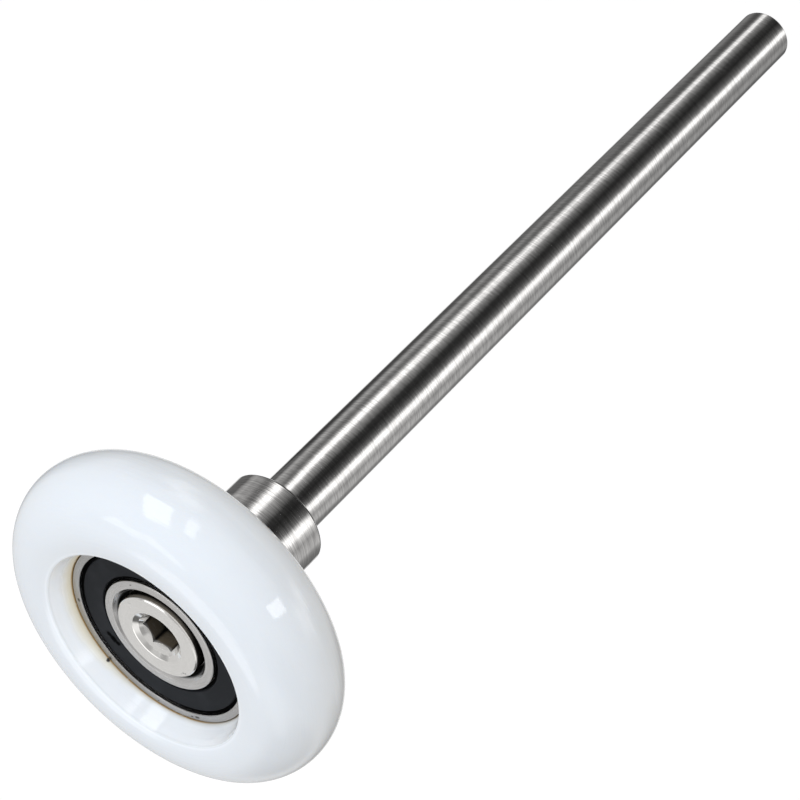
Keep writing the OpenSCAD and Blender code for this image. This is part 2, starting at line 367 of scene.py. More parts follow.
def connect(graph, shader, **links):
    names = {"color": "Base Color", "rough": "Roughness", "normal": "Normal", "metal": "Metallic"}
    for key, value in links.items():
        graph.tree.links.new(value.socket, shader.inputs[names[key]])


def bump(graph, height, distance, normal=None):
    sockets = {"Distance": distance, "Height": height}
    if normal:
        sockets["Normal"] = normal
    return graph.node("ShaderNodeBump", (), sockets)


def scaled(tint, factor):
    """A lighter or darker tone of a colour."""
    return [min(1.0, c * factor) for c in tint]


def nylon(settings, front, rear, lip):
    """White nylon, yellowed beside the bearing, with fine turning marks and a rusty line at the joints.

    Front and rear are the places where nylon and outer ring meet, and lip is the radius of a recess's lip.
    """
    principled = {
        "IOR": 1.53, "Subsurface Weight": 0.25, "Subsurface Radius": (1.0, 0.9, 0.8),
        "Subsurface Scale": 1.5 * MM,
    }
    made, graph, shader = material("wheel_nylon", principled)
    at = Round(graph)
    recess = at.rho.between(19.6, 19.0)
    from_joint = (front / MM - at.y).math("MAXIMUM", at.y - rear / MM)
    greasy_side = (at.cos * -0.97 + at.sin * 0.17).between(-0.4, 0.9)

    cloud = graph.noise(at.place, scale=0.09, detail=2.0)
    base = graph.mix(cloud.between(0.35, 0.7), settings.white, scaled(settings.white, 0.988))
    # Painted light: the recess walls get a paler copy of the nylon, lighter than the nylon elsewhere.
    base = graph.mix(recess, base, scaled(settings.white, 1.08))
    ragged = graph.noise(at.place, scale=0.45, detail=3.0, rough=0.6, w=2.0) - 0.5
    spread = from_joint / (greasy_side * 1.7 + ragged * 1.1 + 0.45)
    yellowed = spread.between(1.3, 0.0) * recess * (greasy_side * 0.8 + 0.2) * settings.stain
    base = graph.mix(yellowed, base, settings.cream)
    # Painted shade: the recess darkens towards its joint with the bearing, more towards the bottom.
    shade = from_joint.between(1.3, 0.0) ** 1.5 * recess * (at.sin * -0.35 + 0.45)
    base = graph.mix(shade, base, settings.shade)
    # Painted shade: a fine dark line in the crease inside the lip.
    base = graph.mix(at.rho.near(lip / MM + 0.08, 0.1, 0.15) * 0.2, base, settings.painted_crease_shade)
    broken = graph.noise(at.place, scale=2.2, detail=2.0, w=7.0).between(0.2, 0.42)
    rusty = from_joint.between(0.42, 0.14) * recess * (1 - at.cos.between(0.3, 0.8)) * broken
    base = graph.mix(rusty * 0.9, base, settings.rust)
    base = graph.mix(at.spot(-130.5, 17.55, front / MM - 0.35, 0.4, seed=3.0), base, settings.grit)

    marks = at.lines(1.8, 0.8, detail=1.0)
    patches = graph.noise(at.place, scale=0.12, detail=1.0, w=11.0).between(0.4, 0.62)
    height = marks * (patches + 0.8) + at.lines(0.9, 0.8, seed=4.0) * 0.5
    rough = marks * 0.04 + 0.05 + yellowed * 0.3 + recess * greasy_side * 0.14
    connect(graph, shader, color=base, rough=rough, normal=bump(graph, height, settings.mark_depth))
    return made


NICK = (0.035, 0.03, 0.028)


def steel(
    name, tint, rough, per_mm, depth, lobes, contrast, face=0.0, nicks=(), dirt_and_shade=(), polish=None, sway=0.0
):
    """Bare steel with fine lines round the axle, so many to the millimetre.

    Nicks in the face at that place are (turn in degrees, radius, size, stretch). Dirt and shade is pairs of a
    colour and a function of a Round that says where it lies, some of them real dirt and some painted shade,
    and polish is such a function for smoother steel.
    """
    made, graph, shader = material(name, {"Metallic": 1.0})
    at = Round(graph)
    fine = at.lines(per_mm, lobes, detail=3.0)
    broad = at.lines(per_mm * 0.35, lobes * 0.7, seed=9.0)
    streak = fine * 0.8 + broad * 0.2
    grain = graph.noise(at.place, scale=9.0, detail=2.0, w=1.0)
    base = graph.mix(streak.between(0.3, 0.7), scaled(tint, 1 - contrast), scaled(tint, 1 + contrast))
    roughness = (streak - 0.5) * 0.12 + (grain - 0.5) * 0.03 + rough
    height = streak + grain * 0.1
    for number, (turn, rho, size, stretch) in enumerate(nicks):
        nick = at.spot(turn, rho, face, size, stretch, seed=float(number))
        base = graph.mix(nick * 0.9, base, NICK)
        height = height - nick * 3.0
    metal = 1.0
    # Each pair paints its colour and dulls the metal where its function lies; some pairs are dirt, some
    # painted shade.
    for shade, place in dirt_and_shade:
        soil_shade_mask = (place(at) * (streak * 0.3 + 0.85)).clamped()
        base = graph.mix(soil_shade_mask, base, shade)
        metal = (1 - soil_shade_mask * 0.7) * metal
        roughness = roughness + soil_shade_mask * 0.2
    if polish:
        roughness = roughness * (1 - polish(at) * 0.5)
    normal = bump(graph, height, depth, at.swayed(sway, per_mm, lobes) if sway else None)
    connect(graph, shader, color=base, rough=roughness, normal=normal)
    if dirt_and_shade:
        connect(graph, shader, metal=metal)
    return made


def rubber(name, tint, land, groove, face, gouges=()):
    """Satin black rubber with a faint grain and bloom; painted shade makes its lip, its groove and its gouges
    near black.

    Gouges in the face at that place are (turn in degrees, radius, size, stretch).
    """
    made, graph, shader = material(name, {"IOR": 1.12})
    at = Round(graph)
    grain = graph.noise(at.place, scale=7.0, detail=3.0, rough=0.6)
    bloom = graph.noise(at.place, scale=0.22, detail=3.0, w=5.0).between(0.4, 0.75)
    base = graph.mix(bloom, tint, [c * 1.35 + 0.001 for c in tint])
    # Painted shade: the lowered lip and the groove go near black, and so do the gouges, which are real marks.
    low = at.rho.between(land, land - 0.12) + at.rho.between(groove, groove + 0.12)
    height = grain * 0.5 + at.lines(2.4, 0.8, seed=3.0) * 0.5
    for number, (turn, rho, size, stretch) in enumerate(gouges):
        gouge = at.spot(turn, rho, face, size, stretch, seed=float(number))
        low = low + gouge
        height = height - gouge * 25.0
    base = graph.mix(low.clamped(), base, (0.0012, 0.0012, 0.0013))
    rough = grain * 0.16 + 0.36 + low * 0.5
    connect(graph, shader, color=base, rough=rough, normal=bump(graph, height, 0.005 * MM))
    return made


def polished(name, tint, rough, scale, depth):
    """A small polished or pressed steel piece with a fine mottle."""
    made, graph, shader = material(name, {"Metallic": 1.0})
    at = Round(graph)
    mottle = graph.noise(at.place, scale=scale, detail=3.0, rough=0.55)
    base = graph.mix(mottle.between(0.3, 0.7), scaled(tint, 0.85), tint)
    connect(graph, shader, color=base, rough=mottle * 0.12 + rough, normal=bump(graph, mottle, depth))
    return made


def fillet(before, corner, after, radius, parts=4):
    """Points of the arc that rounds a corner, each end with a support point beside it.

    The arc takes up less than half of the shorter side, and a corner that is nearly straight stays.
    """
    back, on = before - corner, after - corner
    unit_back, unit_on = back / abs(back), on / abs(on)
    half = abs(cmath.phase(unit_on / unit_back)) / 2
    if radius <= 0 or half > math.radians(89):
        return [corner]
    reach_back = min(radius / math.tan(half), 0.42 * min(abs(back), abs(on)))
    radius = reach_back * math.tan(half)
    centre = corner + (unit_back + unit_on) / abs(unit_back + unit_on) * radius / math.sin(half)
    start, end = corner + unit_back * reach_back, corner + unit_on * reach_back
    turn = cmath.phase((end - centre) / (start - centre))
    arc = [centre + (start - centre) * cmath.rect(1.0, turn * i / parts) for i in range(parts + 1)]
    return [start + unit_back * reach_back * 0.15, *arc, end + unit_on * reach_back * 0.15]


def rounded(corners, closed):
    """A section whose corners (radius, place, rounding) are rounded; a closed one ends where it starts."""
    points, count = [], len(corners)
    for i, (r, y, size) in enumerate(corners):
        here = complex(r, y)
        if size and (closed or 0 < i < count - 1):
            before, after = (complex(*corners[(i + step) % count][:2]) for step in (-1, 1))
            points += fillet(before, here, after, size)
        else:
            points.append(here)
    return points + points[:1] if closed else points


def arc(centre, radius, start, end, parts):
    """Corners along an arc of a section, from one angle to another in radians, with none of them rounded."""
    turns = [start + (end - start) * i / parts for i in range(parts + 1)]
    return [(centre.real + radius * math.cos(t), centre.imag + radius * math.sin(t), 0.0) for t in turns]


def turning_tree():
    """Geometry nodes that turn a section about the axle.

    A section is a chain of points with radius on X and place on Y. Its attribute "flats" draws the
    circle in to a polygon with a corner on X, and "rise" lets a point slide along a cone meanwhile.
    """
    tree = bpy.data.node_groups.new("turned_piece", "GeometryNodeTree")
    inputs = {
        "Section": "Geometry", "Steps": "Int", "Sides": "Int", "Merge Distance": "Float",
        "Material": "Material",
    }
    for name, kind in inputs.items():
        tree.interface.new_socket(name=name, in_out="INPUT", socket_type=f"NodeSocket{kind}")
    tree.interface.new_socket(name="Turned Piece", in_out="OUTPUT", socket_type="NodeSocketGeometry")
    graph = Graph(tree)
    given = graph.outputs("NodeGroupInput")
    section, steps, sides, merge, finish = (given[name] for name in inputs)
    points = graph.node("GeometryNodeAttributeDomainSize", {"component": "MESH"}, {"Geometry": section})
    grid = graph.node("GeometryNodeMeshGrid", (), {"Vertices X": points, "Vertices Y": steps + 1})
    index = graph.node("GeometryNodeInputIndex")
    row = (index / (steps + 1) + 0.0001).math("FLOOR")  # the small number keeps whole rows from rounding down
    angle = (index - row * (steps + 1)) * math.tau / steps

    def on_section(kind, value):
        settings = {"data_type": kind, "domain": "POINT"}
        sockets = {"Geometry": section, "Value": value, "Index": row}
        return graph.node("GeometryNodeSampleIndex", settings, sockets)

    def named(name):
        return graph.node("GeometryNodeInputNamedAttribute", {"data_type": "FLOAT"}, {"Name": name})

    radius, place, _ = graph.split(on_section("FLOAT_VECTOR", graph.node("GeometryNodeInputPosition")))
    flats, rise = (on_section("FLOAT", named(name)) for name in ("flats", "rise"))
    sector = math.tau / sides
    inward = (angle.math("FLOORED_MODULO", sector) - sector / 2).math("COSINE")
    polygon = (sector / 2).math("COSINE") / inward
    drawn = radius * (flats * (polygon - 1) + 1)
    place = place + rise * (radius - drawn)
    turned = graph.vector(drawn * angle.math("COSINE"), place, drawn * angle.math("SINE"))
    moved = graph.node("GeometryNodeSetPosition", (), {"Geometry": grid, "Position": turned})
    merged = graph.node("GeometryNodeMergeByDistance", (), {"Geometry": moved, "Distance": merge})
    smooth = graph.node("GeometryNodeSetShadeSmooth", (), {"Geometry": merged, "Shade Smooth": True})
    real = graph.node("GeometryNodeRealizeInstances", (), {"Geometry": smooth})
    done = graph.node("GeometryNodeSetMaterial", (), {"Geometry": real, "Material": finish})
    graph.node("NodeGroupOutput", (), {"Turned Piece": done})
    return tree


def turned_piece(name, points, finish, steps, flats=None):
    """Turns a section about the axle into a plain mesh object.

    Flats maps the numbers of points that follow the key's flats to their (flats, rise).
    """
    mesh = bpy.data.meshes.new(f"{name}_section")
    chain = [(i, i + 1) for i in range(len(points) - 1)]
    mesh.from_pydata([(p.real, p.imag, 0.0) for p in points], chain, [])
    for part, attribute in enumerate(("flats", "rise")):
        made = mesh.attributes.new(attribute, "FLOAT", "POINT")
        for number, pair in (flats or {}).items():
            made.data[number].value = pair[part]
    builder = bpy.data.objects.new(f"{name}_builder", mesh)
    bpy.context.collection.objects.link(builder)
    modifier = builder.modifiers.new("turned", "NODES")
    modifier.node_group = bpy.data.node_groups.get("turned_piece") or turning_tree()
    inputs = {item.name: item.identifier for item in modifier.node_group.interface.items_tree}
    values = {"Steps": steps, "Sides": KEY_SIDES, "Merge Distance": 0.0005 * MM, "Material": finish}
    for key, value in values.items():
        modifier[inputs[key]] = value
    bpy.context.view_layer.update()
    evaluated = builder.evaluated_get(bpy.context.evaluated_depsgraph_get())
    plain = bpy.data.meshes.new_from_object(evaluated)
    bpy.data.objects.remove(builder)
    bpy.data.meshes.remove(mesh)
    for attribute in ("flats", "rise"):
        if attribute in plain.attributes:
            plain.attributes.remove(plain.attributes[attribute])
    shape = bmesh.new()
    shape.from_mesh(plain)
    bmesh.ops.dissolve_degenerate(shape, dist=1e-8, edges=shape.edges)
    bmesh.ops.recalc_face_normals(shape, faces=shape.faces)
    if shape.calc_volume(signed=True) < 0:
        bmesh.ops.reverse_faces(shape, faces=shape.faces)
    shape.to_mesh(plain)
    shape.free()
    if not plain.polygons:
        raise RuntimeError(f"{name} came out empty")
    plain.name = name
    piece = bpy.data.objects.new(name, plain)
    bpy.context.collection.objects.link(piece)
    return piece


def bearing_faces():
    """Places of the bearing's front and rear faces."""
    return reach("bearing_outer_ring", 1, 0), reach("bearing_outer_ring", 1)


def make(name, points, finish, steps, body, node, flats=None):
    """Turns a piece and puts it in a node's place, on that node's body."""
    piece = turned_piece(name, points, finish, steps, flats)
    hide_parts(node)
    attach(piece, body)


def dress(names, finish):
    """Gives nodes of the frame a finish and leaves their meshes as they are."""
    for name in names:
        slots = NODES[name].data.materials
        slots.clear()
        slots.append(finish)


# Cards round the studio, as (direction, radius and softness in degrees, radiance).
CARDS = (
    ((0.0, -1.0, 0.05), 20.0, 10.0, 0.6), ((0.2, -0.25, -0.94), 14.0, 16.0, 0.15),
    ((0.75, -0.6, -0.3), 10.0, 16.0, 0.38), ((-0.6, -0.795, 0.02), 4.0, 12.0, 0.42),
    ((0.01, -0.99, 0.04), 2.0, 12.0, 0.45), ((0.26, -0.7, -0.66), 2.0, 18.0, 1.0),
    ((-0.24, -0.82, -0.52), 11.0, 5.0, 1.8), ((-0.41, 0.59, -0.69), 10.0, 14.0, 0.85),
)
# Windows, as (place along Y and half of its width, turn round Y and half of its width in degrees, radiance).
WINDOWS = (
    (-0.3, 0.27, 112.0, 9.0, 3.4), (-0.2, 0.24, 89.0, 3.5, 2.8), (-0.05, 0.25, 24.5, 4.0, 4.4),
    (-0.925, 0.05, 143.5, 12.5, 1.9), (-0.82, 0.07, 164.5, 9.0, 1.9),
)
# Strip lights round the axle, as (turn in degrees, brightness from 0 to 255 as it shows in grey steel),
# nearer the wheel and nearer the free end of the stem.
NEAR_STRIPS = (
    (-180, 90), (-168, 48), (-145, 66), (-121, 80), (-100, 98), (-85, 108), (-74, 128), (-61, 165),
    (-45, 162), (-29, 142), (-13, 190), (-4, 262), (8, 265), (15, 190), (21, 112), (28, 84), (38, 54),
    (51, 35), (67, 48), (88, 128), (97, 160), (102, 225), (107, 268), (118, 262), (124, 190), (130, 128),
    (138, 98), (147, 110), (163, 155), (172, 138), (180, 90),
)
FAR_STRIPS = (
    (-180, 105), (-165, 112), (-150, 90), (-135, 75), (-121, 66), (-90, 78), (-75, 96), (-61, 132),
    (-45, 138), (-29, 116), (-16, 132), (-5, 165), (3, 252), (13, 264), (18, 225), (24, 140), (31, 104),
    (38, 78), (51, 54), (60, 35), (83, 52), (96, 96), (106, 118), (113, 160), (118, 238), (129, 228),
    (134, 155), (142, 90), (153, 70), (163, 76), (172, 92), (180, 105),
)
STRIP_GAIN = 2.2
GREY_STEEL = 0.6


def strip_stops(strips):
    """Ramp stops for strip lights, with 0 at a turn of -180 degrees and 1 at 180."""
    def radiance(shown):
        level = shown / 255
        linear = level / 12.92 if level <= 0.04045 else ((level + 0.055) / 1.055) ** 2.4
        return min(1.0, linear / GREY_STEEL / STRIP_GAIN)

    return [((turn + 180) / 360, radiance(shown)) for turn, shown in strips]


class ROLLER_OT_stage(Operator):
    """Set up the camera, the floor, the lamps and the light of the studio"""

    bl_idname = "roller.stage"
    bl_label = "Stage"

    def execute(self, context):
        stage = context.scene.roller_stage
        self.camera(context, stage)
        self.floor(context, stage)
        self.lamps(context, stage)
        self.world(context, stage)
        context.scene.view_settings.view_transform = "Standard"
        return {"FINISHED"}

    @staticmethod
    def camera(context, stage):
        data = bpy.data.cameras.new("camera")
        data.lens, data.sensor_width = stage.lens, 36.0
        data.clip_start, data.clip_end = 0.01, 20.0
        camera = bpy.data.objects.new("camera", data)
        back = -Vector(stage.camera_aim).normalized()
        right = Vector(stage.camera_side).normalized()
        turned = Matrix((right, back.cross(right).normalized(), back)).transposed()
        camera.matrix_world = Matrix.Translation(stage.camera_place) @ turned.to_4x4()
        context.collection.objects.link(camera)
        context.scene.camera = camera

    @staticmethod
    def floor(context, stage):
        made = bpy.data.materials.new("floor_paper")
        made.use_nodes = True
        graph = Graph(made.node_tree)
        paper = graph.node("ShaderNodeBsdfDiffuse", (), {"Color": (0.8, 0.8, 0.8, 1.0)})
        glow = graph.node("ShaderNodeEmission", (), {"Color": (1.0, 0.9, 0.79, 1.0), "Strength": 0.33})
        lit = graph.node("ShaderNodeAddShader", (), {0: paper, 1: glow})
        graph.node("ShaderNodeOutputMaterial", (), {"Surface": lit})
        mesh = bpy.data.meshes.new("floor")
        shape = bmesh.new()
        bmesh.ops.create_grid(shape, x_segments=8, y_segments=8, size=4.0)
        bmesh.ops.translate(shape, verts=shape.verts, vec=(0.0, 0.0, -stage.drop))
        shape.to_mesh(mesh)
        shape.free()
        mesh.materials.append(made)
        floor = bpy.data.objects.new("floor", mesh)
        floor.visible_glossy = floor.visible_diffuse = floor.visible_transmission = False
        context.collection.objects.link(floor)

    @staticmethod
    def lamps(context, stage):
        """A soft lamp, and a small one in place of the light that shines through the recess's nylon."""
        soft = bpy.data.lights.new("soft_lamp", "AREA")
        soft.energy, soft.shape, soft.size = stage.lamp, "DISK", 0.35
        glow = bpy.data.lights.new("recess_glow", "POINT")
        glow.energy, glow.shadow_soft_size = stage.glow, 1.5 * MM
        for data, place in ((soft, (-0.25, -0.42, 0.55)), (glow, (-0.0045, -0.0068, -0.001))):
            lamp = bpy.data.objects.new(data.name, data)
            turned = Vector(place).to_track_quat("Z", "Y").to_matrix().to_4x4()
            lamp.matrix_world = Matrix.Translation(place) @ turned
            lamp.visible_glossy = lamp.visible_camera = False
            context.collection.objects.link(lamp)

    def world(self, context, stage):
        """White to the eye, an even light with a key from front and above, and strip lights in metal."""
        world = bpy.data.worlds.new("studio")
        world.use_nodes = True
        world.cycles.sampling_method = "NONE"
        context.scene.world = world
        graph = Graph(world.node_tree)
        ray = graph.outputs("ShaderNodeTexCoord")["Generated"]
        x, y, z = graph.split(ray)
        toward = (y * -0.7 + z * 0.7 + x * 0.02).math("MAXIMUM", -0.45)
        even = graph.vector(*(toward * key + fill for key, fill in zip(stage.key, stage.fill)))
        turn = z.math("ARCTAN2", x) * (180 / math.pi)
        glossy = self.strips(graph, y, turn)
        for centre, radius, softness, shade in CARDS:
            outer, inner = (math.cos(math.radians(angle)) for angle in (radius + softness, radius))
            card = graph.dot(ray, Vector(centre).normalized()).between(outer, inner)
            glossy = graph.mix(card, glossy, (shade, shade, shade))
        for place, half_width, middle, half_turn, shade in WINDOWS:
            pane = y.near(place, half_width, 0.02) * turn.near(middle, half_turn, 0.8)
            glossy = graph.mix(pane, glossy, (shade, shade * 1.01, shade * 1.03))
        rays = graph.outputs("ShaderNodeLightPath")
        seen = graph.mix(rays["Is Glossy Ray"], even, glossy)
        plain = rays["Is Camera Ray"].math("MAXIMUM", rays["Is Transmission Ray"])
        seen = graph.mix(plain, seen, (1.0, 1.0, 1.0))
        background = graph.node("ShaderNodeBackground", (), {"Color": seen})
        graph.node("ShaderNodeOutputWorld", (), {"Surface": background})

    @staticmethod
    def strips(graph, y, turn):
        """The strip lights, by a direction's Y and its turn round Y, with plain ends in front and behind.

        Nearest the front they are drawn together about a turn of 43 degrees.
        """
        squeezed = turn + (turn - 43) * y.between(0.56, 0.53) * turn.between(160, 140) * 0.144
        near, far = (
            graph.node("ShaderNodeValToRGB", {"stops": strip_stops(strips)}, {0: squeezed / 360 + 0.5})
            for strips in (NEAR_STRIPS, FAR_STRIPS)
        )
        bands = graph.mix(y.between(0.55, 0.76), near, far)
        bands = graph.mix(y.between(0.8, 0.88), bands, (0.21, 0.21, 0.21))
        bands = graph.mix(y.between(0.92, 0.95), bands, (0.12, 0.12, 0.12))
        bands = graph.mix(y.between(0.2, 0.46), (0.31, 0.31, 0.31), bands)
        return graph.vector_math("SCALE", bands, STRIP_GAIN)


class ROLLER_OT_wheel(Operator):
    """Turn the full-round nylon wheel with its two tapered recesses"""

    bl_idname = "roller.wheel"
    bl_label = "Nylon Wheel"

    def execute(self, context):
        wheel, bearing = context.scene.roller_wheel, context.scene.roller_bearing
        front, rear = bearing_faces()
        round_radius = wheel.width / 2
        middle = complex(wheel.radius - round_radius, 0.0)
        joint = bearing.rim - wheel.grip
        bare, chamfer = bearing.rim_chamfer - wheel.grip, bearing.rim_chamfer

        def lip(face):
            """The angle on the tread's circle where the recess wall from that face's joint meets it."""
            away = complex(math.tan(wheel.draft), math.copysign(1.0, face))
            start = complex(joint, face) - middle
            along, square = (start * away.conjugate()).real, abs(away) ** 2
            root = math.sqrt(along**2 - square * (abs(start) ** 2 - round_radius**2))
            return cmath.phase(start + away * (root - along) / square)

        joints = front + bare, rear - bare
        tread = arc(middle, round_radius, lip(joints[0]), lip(joints[1]), 112)
        corners = [
            (*tread[0][:2], wheel.edge), *tread[1:-1], (*tread[-1][:2], wheel.edge),
            *self.wall(tread[-1], (joint, joints[1])),
            (joint, joints[1], 0.0), (bearing.rim, rear - chamfer, 0.0),
            (bearing.rim, front + chamfer, 0.0), (joint, joints[0], 0.0),
            *self.wall((joint, joints[0]), tread[0]),
        ]
        finish = nylon(wheel, *joints, tread[0][0])
        section = rounded(corners, closed=True)
        make("nylon_wheel", section, finish, wheel.steps, "wheel", "wheel_tyre")
        return {"FINISHED"}

    @staticmethod
    def wall(start, end, parts=14):
        """Corners along a recess wall, between its ends."""
        first, last = complex(*start[:2]), complex(*end[:2])
        inner = [first + (last - first) * i / parts for i in range(1, parts)]
        return [(p.real, p.imag, 0.0) for p in inner]


# Nicks and gouges, as (turn in degrees, radius, size, stretch), with lengths in millimetres.
OUTER_RING_NICKS = (
    (-172.4, 16.5, 0.3, 1.6), (-67, 16.6, 0.3, 2.0), (-71, 16.7, 0.2, 1.6), (-95, 16.8, 0.16, 1.5),
)
INNER_RING_NICKS = ((118, 10.0, 0.14, 2.0),)
SEAL_GOUGES = ((-147, 13.05, 0.6, 1.0), (-142.5, 12.7, 0.75, 1.2), (-138, 12.4, 0.6, 1.0))
SCREW_NICKS = (
    (137, 7.05, 0.09, 1.0), (134, 6.9, 0.08, 1.0), (-46, 7.0, 0.16, 1.0), (-43, 7.25, 0.15, 1.2),
    (-50, 7.1, 0.09, 1.0),
)


class ROLLER_OT_rings(Operator):
    """Turn the two ground rings of the ball bearing"""

    bl_idname = "roller.rings"
    bl_label = "Bearing Rings"

    def execute(self, context):
        bearing = context.scene.roller_bearing
        front, rear = bearing_faces()
        middle, face = (rear + front) / 2, front / MM
        half, edge, chamfer = bearing.width / 2, bearing.edge, bearing.rim_chamfer
        pitch = (bearing.bore + bearing.rim) / 2
        seat, land = bearing.rim - bearing.outer_rim, bearing.bore + bearing.inner_rim
        low = half - bearing.seal_recess - bearing.seal_thickness - bearing.insert

        def rim(at):
            return at.rho.between(17.1, 17.3)

        # Painted shade: the inner part of the bore chamfer goes near black, at the gap round the screw head.
        def bore(at):
            return at.rho.between(8.9, 8.5) * at.y.between(face + 0.25, face + 0.6)

        ground = {
            "rough": 0.26, "per_mm": 2.6, "depth": 0.0015 * MM, "lobes": 2.5, "contrast": 0.05, "face": face
        }
        outer_finish = steel(
            "outer_ring_steel", bearing.outer_steel, nicks=OUTER_RING_NICKS,
            dirt_and_shade=(((0.12, 0.075, 0.03), rim),), **ground,
        )
        inner_finish = steel(
            "inner_ring_steel", bearing.inner_steel, nicks=INNER_RING_NICKS,
            dirt_and_shade=(((0.01, 0.009, 0.008), bore),), **ground,
        )
        outer = [
            (bearing.rim - chamfer, half, edge), (bearing.rim, half - chamfer, edge),
            (bearing.rim, chamfer - half, edge), (bearing.rim - chamfer, -half, edge),
            (seat, -half, edge), (seat, -low, 0.0), (pitch + bearing.shoulder, -low, edge),
            *self.race(bearing, pitch, 1), (pitch + bearing.shoulder, low, edge), (seat, low, 0.0),
            (seat, half, edge),
        ]
        inner = [
            (bearing.bore, bearing.bore_chamfer - half, edge),
            (bearing.bore + bearing.bore_chamfer, -half, edge),
            (land, -half, edge * 1.4), (land, -low, 0.0), (pitch - bearing.shoulder, -low, edge),
            *self.race(bearing, pitch, -1), (pitch - bearing.shoulder, low, edge), (land, low, 0.0),
            (land, half, edge * 1.4), (bearing.bore + bearing.bore_chamfer, half, edge),
            (bearing.bore, half - bearing.bore_chamfer, edge),
        ]
        for name, body, node, corners, finish in (
            ("outer_ring", "wheel", "bearing_outer_ring", outer, outer_finish),
            ("inner_ring", "axle", "bearing_inner_ring", inner, inner_finish),
        ):
            placed = [(r, y + middle, size) for r, y, size in corners]
            make(name, rounded(placed, closed=True), finish, bearing.steps, body, node)
        return {"FINISHED"}

    @staticmethod
    def race(bearing, pitch, side):
        """Corners along a raceway, from its front shoulder to its rear one; side is 1 on the outer ring."""
        offset = bearing.race_reach - bearing.race
        half_turn = math.acos((bearing.shoulder - offset) / bearing.race)
        centre = complex(pitch + side * offset, 0.0)
        turns = arc(complex(0.0), bearing.race, -half_turn, half_turn, 16)
        return [(centre.real + side * r, y, 0.0) for r, y, _ in turns]


class ROLLER_OT_seals(Operator):
    """Mould the rubber seals and roll their steel inserts"""

    bl_idname = "roller.seals"
    bl_label = "Seals"

    def execute(self, context):
        bearing = context.scene.roller_bearing
        middle, edge = sum(bearing_faces()) / 2, bearing.edge
        land, seat = bearing.bore + bearing.inner_rim, bearing.rim - bearing.outer_rim
        face = bearing.width / 2 - bearing.seal_recess
        back = face - bearing.seal_thickness
        low = face - bearing.step
        lip, groove = land + bearing.lip, seat - bearing.moat
        corners = [
            (land + bearing.gap, back, 0.0), (land + bearing.gap, low, edge), (lip, low, edge * 0.6),
            (lip, face, edge), (groove, face, edge), (groove, low, edge * 0.6),
            (seat, low, 0.0), (seat, back, 0.0),
        ]
        for node, side, gouges in (("front_seal", -1, SEAL_GOUGES), ("rear_seal", 1, ())):
            finish = rubber(
                f"{node}_rubber", bearing.rubber, lip / MM, groove / MM, (middle + side * face) / MM, gouges
            )
            placed = [(r, middle + side * y, size) for r, y, size in corners]
            section = rounded(placed, closed=True)
            make(f"{node}_ring", section, finish, bearing.steps, "wheel", node)
        dress(INSERTS, polished("insert_steel", bearing.insert_steel, 0.3, 2.0, 0.002 * MM))
        return {"FINISHED"}


class ROLLER_OT_balls(Operator):
    """Polish the balls and finish the riveted cage that spaces them"""

    bl_idname = "roller.balls"
    bl_label = "Balls and Cage"

    def execute(self, context):
        bearing = context.scene.roller_bearing
        dress(BALLS, polished("ball_steel", bearing.ball, 0.06, 1.2, 0.0004 * MM))
        dress(CAGE, polished("cage_steel", bearing.cage, 0.26, 2.6, 0.004 * MM))
        dress(("cage_rivets",), polished("rivet_steel", bearing.cage, 0.32, 5.0, 0.004 * MM))
        return {"FINISHED"}


class ROLLER_OT_collar(Operator):
    """Turn the collar whose spigot carries the bearing"""

    bl_idname = "roller.collar"
    bl_label = "Collar"

    def execute(self, context):
        axle, bearing = context.scene.roller_axle, context.scene.roller_bearing
        front, rear = reach("collar", 1, 0), reach("collar", 1)
        shoulder, seat = reach("collar", 2), reach("bearing_outer_ring", 1)
        chamfer, edge = axle.collar_chamfer, 0.08 * MM
        step = seat + axle.shoulder_length
        corners = [
            (axle.journal, front, 0.0), (bearing.bore - chamfer, front, edge),
            (bearing.bore, front + chamfer, edge), (bearing.bore, seat, 0.0), (shoulder, seat, edge),
            (shoulder, step, edge), (axle.collar_radius, step, 0.0),
            *((axle.collar_radius, step + along * MM, 0.0) for along in (0.1, 1, 4, 8, 12, 16)),
            (axle.collar_radius, rear - chamfer, edge), (axle.collar_radius - chamfer, rear, edge),
            (axle.seat_radius, rear, 0.0), (axle.seat_radius, rear - axle.seat_depth, 0.0),
            (axle.journal, rear - axle.seat_depth, 0.0),
        ]
        rim, end = axle.collar_radius / MM, rear / MM

        # Painted shadow: a dark line before the rear chamfer and a dark band on the rear face's rim, where
        # the collar meets the stem.
        def painted_rear_rim_shadow(at):
            line = at.y.near(end - 0.42, 0.08, 0.06)
            return line + at.y.between(end - 0.14, end - 0.08) * at.rho.between(rim - 1.2, rim - 0.9)

        finish = steel(
            "collar_steel", axle.steel, 0.075, 4.6, axle.groove * 0.5, lobes=2.6, contrast=0.28, sway=0.08,
            dirt_and_shade=(((0.03, 0.028, 0.026), painted_rear_rim_shadow),),
        )
        section = rounded(corners, closed=True)
        make("bush_collar", section, finish, axle.steps, "axle", "collar")
        return {"FINISHED"}


